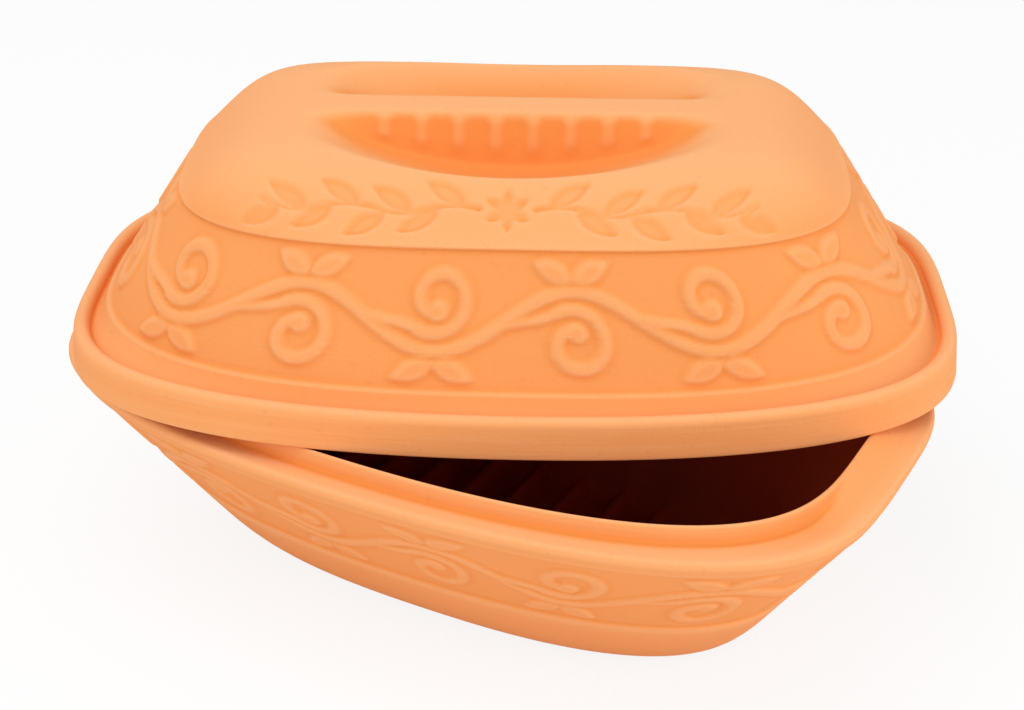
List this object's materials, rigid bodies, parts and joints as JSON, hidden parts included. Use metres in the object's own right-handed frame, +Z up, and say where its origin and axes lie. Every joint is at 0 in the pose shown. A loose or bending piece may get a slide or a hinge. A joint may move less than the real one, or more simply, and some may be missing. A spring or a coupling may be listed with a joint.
{
  "type": "clay roaster",
  "caption": "Unglazed clay roaster: tapered dish with a lipped rim and ribbed floor, under a domed lid with a grip bar between two finger scoops, lying askew.",
  "frame": {"origin": "centre of the dish's flat underside", "axes": "+Z up, X along the dish's length, Y across it; the picture is taken from the -Y side, turned towards +X"},
  "size_m": [0.347, 0.2742, 0.1845],
  "materials": {
    "dish_clay": "matte fired clay outside, dark brown glaze inside",
    "lid_clay": "matte fired clay"
  },
  "bodies": {
    "dish": {"dish": "dish_clay"},
    "lid": {"lid": "lid_clay"}
  },
  "joints": [
    {"name": "lid_lift", "type": "slide", "parent": "dish", "child": "lid", "axis": [0, 0, 1], "range_m": [0, 0.2]}
  ]
}
